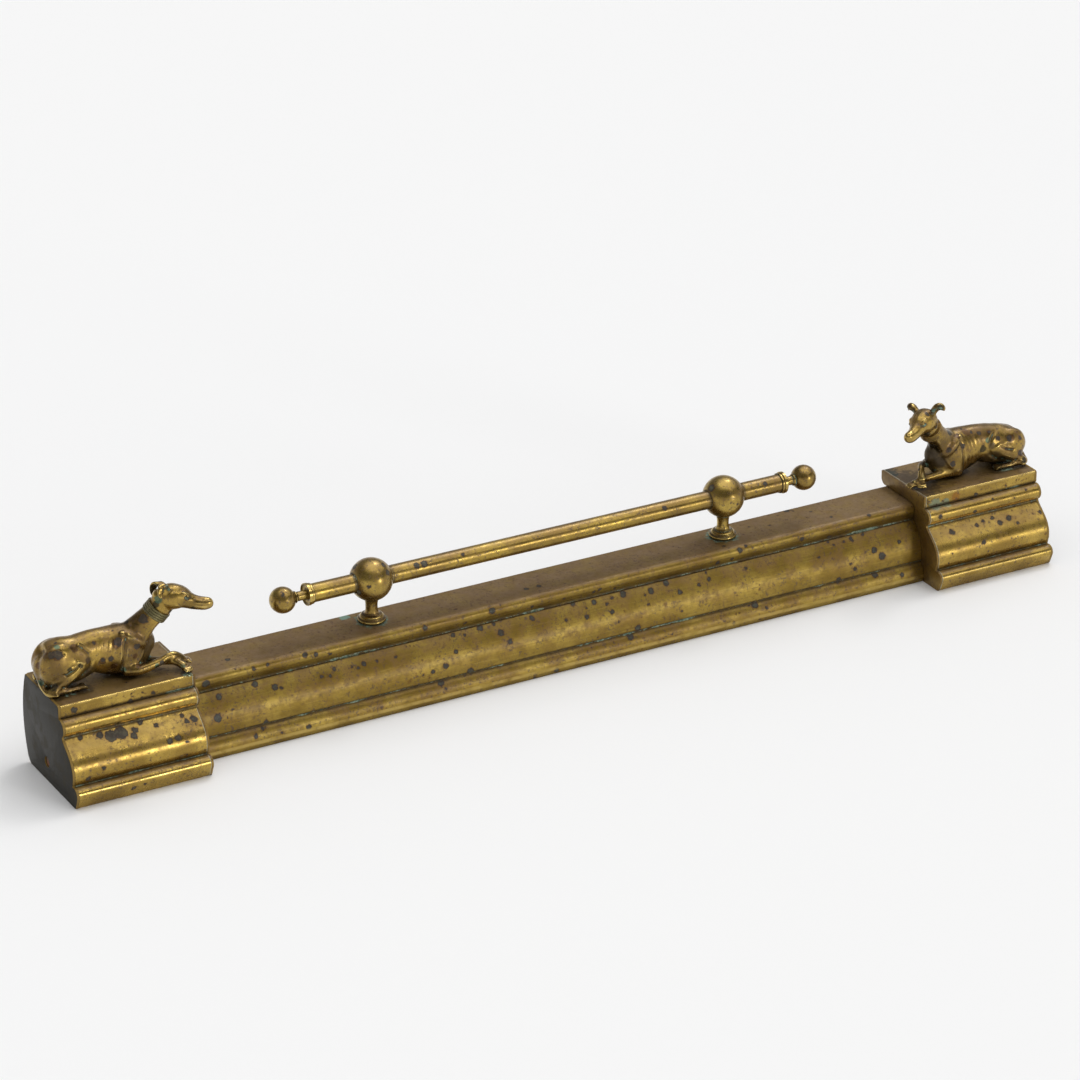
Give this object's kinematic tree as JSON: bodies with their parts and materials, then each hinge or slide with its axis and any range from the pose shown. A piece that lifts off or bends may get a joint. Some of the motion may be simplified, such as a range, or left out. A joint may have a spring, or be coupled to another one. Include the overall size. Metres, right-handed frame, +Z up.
{
  "type": "adjustable hearth fender",
  "caption": "Adjustable brass hearth fender: a moulded bar with a turned rail slides in moulded end blocks, each carrying a reclining hound.",
  "frame": {"origin": "on the floor, at the middle of the bounding box's footprint, with both blocks pushed in", "axes": "+X along the fender towards the right block as seen from the room, +Y towards the fire, +Z up"},
  "size_m": [1.1935, 0.1318, 0.2023],
  "materials": {
    "sheet_brass": "aged sheet brass with brown tarnish and dark spots",
    "turned_brass": "aged turned brass with dark spots",
    "cast_brass": "aged cast brass, bright on high points and dark in hollows",
    "dull_brass": "dull brown and grey-green brass",
    "end_iron": "dark tarnished iron",
    "sheet_iron": "rusty sheet iron",
    "iron_fastener": "rusty iron"
  },
  "bodies": {
    "bar": {"bar_shell": "sheet_brass", "bar_lining": "sheet_iron", "bar_rivets": "sheet_brass", "left_keeper": "sheet_iron", "right_keeper": "sheet_iron", "left_pedestal": "turned_brass", "right_pedestal": "turned_brass", "left_ball": "turned_brass", "right_ball": "turned_brass", "left_post_stud": "iron_fastener", "right_post_stud": "iron_fastener", "left_post_washer": "iron_fastener", "right_post_washer": "iron_fastener", "left_post_nut": "iron_fastener", "right_post_nut": "iron_fastener", "rail_tube": "turned_brass", "left_ferrule": "turned_brass", "right_ferrule": "turned_brass", "left_finial": "turned_brass", "right_finial": "turned_brass"},
    "left_block": {"left_block_shell": "sheet_brass", "left_end_plate": "end_iron", "left_inner_plate": "dull_brass", "left_saddle": "sheet_iron", "left_rod": "iron_fastener", "left_rod_flange": "iron_fastener", "left_stop_nut": "iron_fastener", "left_hound": "cast_brass", "left_collar": "dull_brass", "left_hound_screws": "iron_fastener", "left_hound_washers": "iron_fastener", "left_hound_nuts": "iron_fastener"},
    "right_block": {"right_block_shell": "sheet_brass", "right_end_plate": "end_iron", "right_inner_plate": "dull_brass", "right_saddle": "sheet_iron", "right_rod": "iron_fastener", "right_rod_flange": "iron_fastener", "right_stop_nut": "iron_fastener", "right_hound": "cast_brass", "right_collar": "dull_brass", "right_hound_screws": "iron_fastener", "right_hound_washers": "iron_fastener", "right_hound_nuts": "iron_fastener"}
  },
  "joints": [
    {"name": "left_block_slide", "type": "slide", "parent": "bar", "child": "left_block", "axis": [-1, 0, 0], "range_m": [0, 0.09]},
    {"name": "right_block_slide", "type": "slide", "parent": "bar", "child": "right_block", "axis": [1, 0, 0], "range_m": [0, 0.09]}
  ]
}
